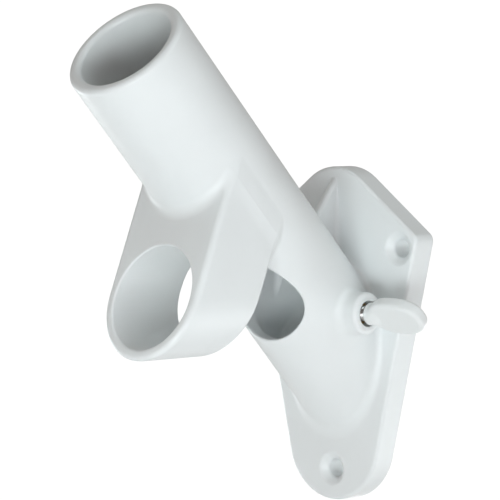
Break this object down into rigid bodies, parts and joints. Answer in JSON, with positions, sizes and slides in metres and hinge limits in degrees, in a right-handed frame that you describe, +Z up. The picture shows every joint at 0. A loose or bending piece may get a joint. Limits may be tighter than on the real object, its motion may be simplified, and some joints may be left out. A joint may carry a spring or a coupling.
{
  "type": "rod holder",
  "caption": "Wall-mounted two-position holder for a rod or pole: a socket tube at 45 degrees, a level ring below it, and a side thumb screw that clamps the rod.",
  "frame": {"origin": "on the flat wall face of the plate, in the plane of symmetry, where the axis of the tilted socket meets the wall", "axes": "+X to the right seen from the front, towards the thumb screw; +Y out of the back of the plate into the wall; +Z up"},
  "size_m": [0.0698, 0.0993, 0.1342],
  "materials": {
    "white_plastic": "smooth moulded white, semi-gloss",
    "white_plastic_head": "smooth moulded white, semi-gloss",
    "brass": "turned and knurled brass",
    "steel": "bright rolled thread"
  },
  "bodies": {
    "bracket": {"bracket_body": "white_plastic", "threaded_insert": "brass"},
    "screw_shank": {"thumb_screw_shank": "steel"},
    "screw_head": {"thumb_screw_head": "white_plastic_head"}
  },
  "joints": [
    {"name": "screw_advance", "type": "slide", "parent": "bracket", "child": "screw_shank", "axis": [1, 0, 0], "range_m": [-0.0012, 0.004]},
    {"name": "screw_turn", "type": "hinge", "parent": "screw_shank", "child": "screw_head", "pos_m": [0, -0.01768, 0.01768], "axis": [1, 0, 0], "range_deg": [-545, 1816]}
  ],
  "couplings": [
    {"joint": "screw_turn", "follows": "screw_advance", "rad_per_m": 7915.8}
  ]
}
